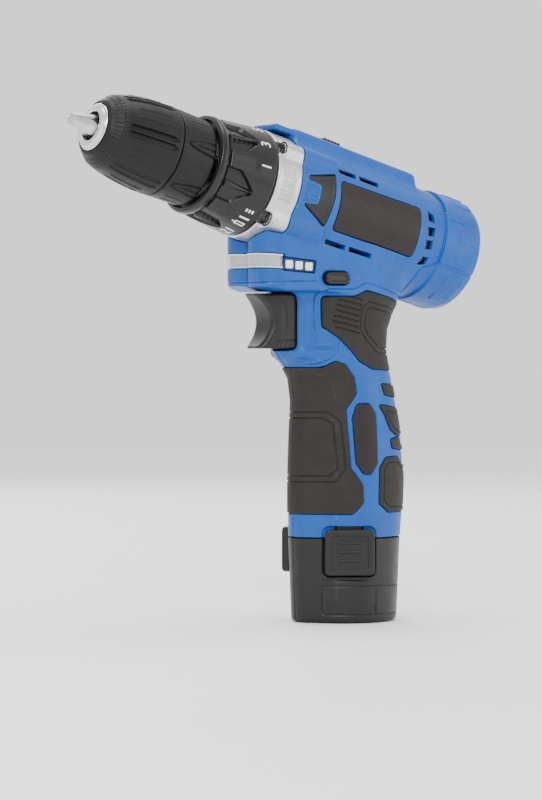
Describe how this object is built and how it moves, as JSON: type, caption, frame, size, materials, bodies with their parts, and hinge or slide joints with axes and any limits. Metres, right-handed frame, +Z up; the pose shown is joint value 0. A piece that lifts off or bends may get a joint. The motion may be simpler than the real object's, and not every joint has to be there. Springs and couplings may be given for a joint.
{
  "type": "cordless drill",
  "caption": "Compact cordless drill driver with keyless chuck, torque collar, trigger, rubber grips and slide-in battery that it stands on.",
  "frame": {"origin": "flat base of the fitted battery, on the handle's axis", "axes": "+Z up along the handle, the nose points to -X and 15 degrees up, -Y is the drill's left side, XZ is the parting plane of the two housing halves"},
  "size_m": [0.1908, 0.0504, 0.2079],
  "materials": {
    "blue_plastic": "satin moulded plastic",
    "black_plastic": "satin moulded plastic",
    "rubber_grip": "matte moulded rubber",
    "cast_alloy": "as-cast, lightly blasted",
    "steel": "turned and brushed",
    "copper": "wound copper",
    "clear_lens": "clear window",
    "cell_wrap": "shrink wrap"
  },
  "bodies": {
    "housing": {"left_housing": "blue_plastic", "right_housing": "blue_plastic", "left_front_grip": "rubber_grip", "left_thumb_grip": "rubber_grip", "left_palm_insert": "black_plastic", "left_rear_grip": "rubber_grip", "left_side_plate": "black_plastic", "left_trim_insert": "black_plastic", "right_front_grip": "rubber_grip", "right_thumb_grip": "rubber_grip", "right_palm_insert": "black_plastic", "right_rear_grip": "rubber_grip", "right_side_plate": "black_plastic", "right_trim_insert": "black_plastic", "light_lens": "clear_lens", "charge_gauge": "black_plastic", "gear_case": "cast_alloy", "gear_case_screw_1": "steel", "gear_case_screw_2": "steel", "gear_case_screw_3": "steel", "gear_case_screw_4": "steel", "housing_screw_1": "steel", "housing_screw_2": "steel", "housing_screw_3": "steel", "ring_gear": "steel", "spindle_bearing": "steel", "motor_can": "steel", "motor_end_cap": "black_plastic", "switch_body": "black_plastic", "terminal_block": "black_plastic", "clutch_spring": "steel"},
    "rotor": {"motor_shaft": "steel", "armature": "copper"},
    "first_carrier": {"first_carrier": "steel"},
    "first_planet_1": {"first_planet_1": "steel"},
    "first_planet_2": {"first_planet_2": "steel"},
    "first_planet_3": {"first_planet_3": "steel"},
    "second_planet_1": {"second_planet_1": "steel"},
    "second_planet_2": {"second_planet_2": "steel"},
    "second_planet_3": {"second_planet_3": "steel"},
    "chuck": {"spindle": "steel", "chuck_body": "steel", "chuck_rear_sleeve": "black_plastic", "chuck_nose_ring": "steel"},
    "chuck_sleeve": {"chuck_front_sleeve": "black_plastic"},
    "jaw_1": {"chuck_jaw_1": "steel"},
    "jaw_2": {"chuck_jaw_2": "steel"},
    "jaw_3": {"chuck_jaw_3": "steel"},
    "torque_collar": {"torque_collar": "black_plastic"},
    "clutch_nut": {"clutch_nut": "steel"},
    "trigger": {"trigger": "black_plastic"},
    "direction_button": {"direction_button": "black_plastic"},
    "speed_selector": {"speed_selector": "black_plastic"},
    "battery": {"battery_base": "black_plastic", "battery_tower": "black_plastic", "cell_pack": "cell_wrap"},
    "latch_left": {"latch_left": "black_plastic"},
    "latch_right": {"latch_right": "black_plastic"}
  },
  "joints": [
    {"name": "chuck_spin", "type": "hinge", "parent": "housing", "child": "chuck", "pos_m": [0, 0, 0.163], "axis": [-0.9659, 0, 0.2588], "continuous": true},
    {"name": "rotor_spin", "type": "hinge", "parent": "housing", "child": "rotor", "pos_m": [0, 0, 0.163], "axis": [-0.9659, 0, 0.2588], "continuous": true},
    {"name": "first_carrier_spin", "type": "hinge", "parent": "housing", "child": "first_carrier", "pos_m": [0, 0, 0.163], "axis": [-0.9659, 0, 0.2588], "continuous": true},
    {"name": "first_planet_1_spin", "type": "hinge", "parent": "first_carrier", "child": "first_planet_1", "pos_m": [0.00245, 0, 0.17213], "axis": [-0.9659, 0, 0.2588], "continuous": true},
    {"name": "first_planet_2_spin", "type": "hinge", "parent": "first_carrier", "child": "first_planet_2", "pos_m": [-0.00122, 0.00818, 0.15844], "axis": [-0.9659, 0, 0.2588], "continuous": true},
    {"name": "first_planet_3_spin", "type": "hinge", "parent": "first_carrier", "child": "first_planet_3", "pos_m": [-0.00122, -0.00818, 0.15844], "axis": [-0.9659, 0, 0.2588], "continuous": true},
    {"name": "second_planet_1_spin", "type": "hinge", "parent": "chuck", "child": "second_planet_1", "pos_m": [0.00245, 0, 0.17213], "axis": [-0.9659, 0, 0.2588], "continuous": true},
    {"name": "second_planet_2_spin", "type": "hinge", "parent": "chuck", "child": "second_planet_2", "pos_m": [-0.00122, 0.00818, 0.15844], "axis": [-0.9659, 0, 0.2588], "continuous": true},
    {"name": "second_planet_3_spin", "type": "hinge", "parent": "chuck", "child": "second_planet_3", "pos_m": [-0.00122, -0.00818, 0.15844], "axis": [-0.9659, 0, 0.2588], "continuous": true},
    {"name": "sleeve_turn", "type": "hinge", "parent": "chuck", "child": "chuck_sleeve", "pos_m": [0, 0, 0.163], "axis": [-0.9659, 0, 0.2588], "range_deg": [0, 2160]},
    {"name": "jaw_1_slide", "type": "slide", "parent": "chuck", "child": "jaw_1", "axis": [1, 0, 0], "range_m": [0, 0.0188]},
    {"name": "jaw_2_slide", "type": "slide", "parent": "chuck", "child": "jaw_2", "axis": [0.8995, -0.2241, -0.375], "range_m": [0, 0.0188]},
    {"name": "jaw_3_slide", "type": "slide", "parent": "chuck", "child": "jaw_3", "axis": [0.8995, 0.2241, -0.375], "range_m": [0, 0.0188]},
    {"name": "collar_turn", "type": "hinge", "parent": "housing", "child": "torque_collar", "pos_m": [0, 0, 0.163], "axis": [-0.9659, 0, 0.2588], "range_deg": [-210, 80]},
    {"name": "clutch_nut_slide", "type": "slide", "parent": "housing", "child": "clutch_nut", "axis": [-0.9659, 0, 0.2588], "range_m": [-0.00175, 0.00067]},
    {"name": "trigger_pull", "type": "slide", "parent": "housing", "child": "trigger", "axis": [1, 0, 0], "range_m": [0, 0.0065], "stiffness_N_per_m": 700, "springref_m": -0.003},
    {"name": "direction_button_slide", "type": "slide", "parent": "housing", "child": "direction_button", "axis": [0, 1, 0], "range_m": [-0.0035, 0.0035]},
    {"name": "speed_selector_slide", "type": "slide", "parent": "housing", "child": "speed_selector", "axis": [0.9659, 0, -0.2588], "range_m": [0, 0.008]},
    {"name": "battery_slide", "type": "slide", "parent": "housing", "child": "battery", "axis": [0, 0, -1], "range_m": [0, 0.1]},
    {"name": "latch_left_press", "type": "slide", "parent": "battery", "child": "latch_left", "axis": [0.5, 0.866, 0], "range_m": [0, 0.002], "stiffness_N_per_m": 1500, "springref_m": -0.001},
    {"name": "latch_right_press", "type": "slide", "parent": "battery", "child": "latch_right", "axis": [0.5, -0.866, 0], "range_m": [0, 0.002], "stiffness_N_per_m": 1500, "springref_m": -0.001}
  ],
  "couplings": [
    {"joint": "rotor_spin", "follows": "chuck_spin", "ratio": 21.778},
    {"joint": "first_carrier_spin", "follows": "chuck_spin", "ratio": 4.6667},
    {"joint": "second_planet_1_spin", "follows": "chuck_spin", "ratio": -2.75},
    {"joint": "second_planet_2_spin", "follows": "chuck_spin", "ratio": -2.75},
    {"joint": "second_planet_3_spin", "follows": "chuck_spin", "ratio": -2.75},
    {"joint": "first_planet_1_spin", "follows": "chuck_spin", "ratio": -12.833},
    {"joint": "first_planet_2_spin", "follows": "chuck_spin", "ratio": -12.833},
    {"joint": "first_planet_3_spin", "follows": "chuck_spin", "ratio": -12.833},
    {"joint": "sleeve_turn", "follows": "jaw_1_slide", "rad_per_m": 2000},
    {"joint": "jaw_2_slide", "follows": "jaw_1_slide", "ratio": 1},
    {"joint": "jaw_3_slide", "follows": "jaw_1_slide", "ratio": 1},
    {"joint": "collar_turn", "follows": "clutch_nut_slide", "rad_per_m": 2094.2}
  ]
}
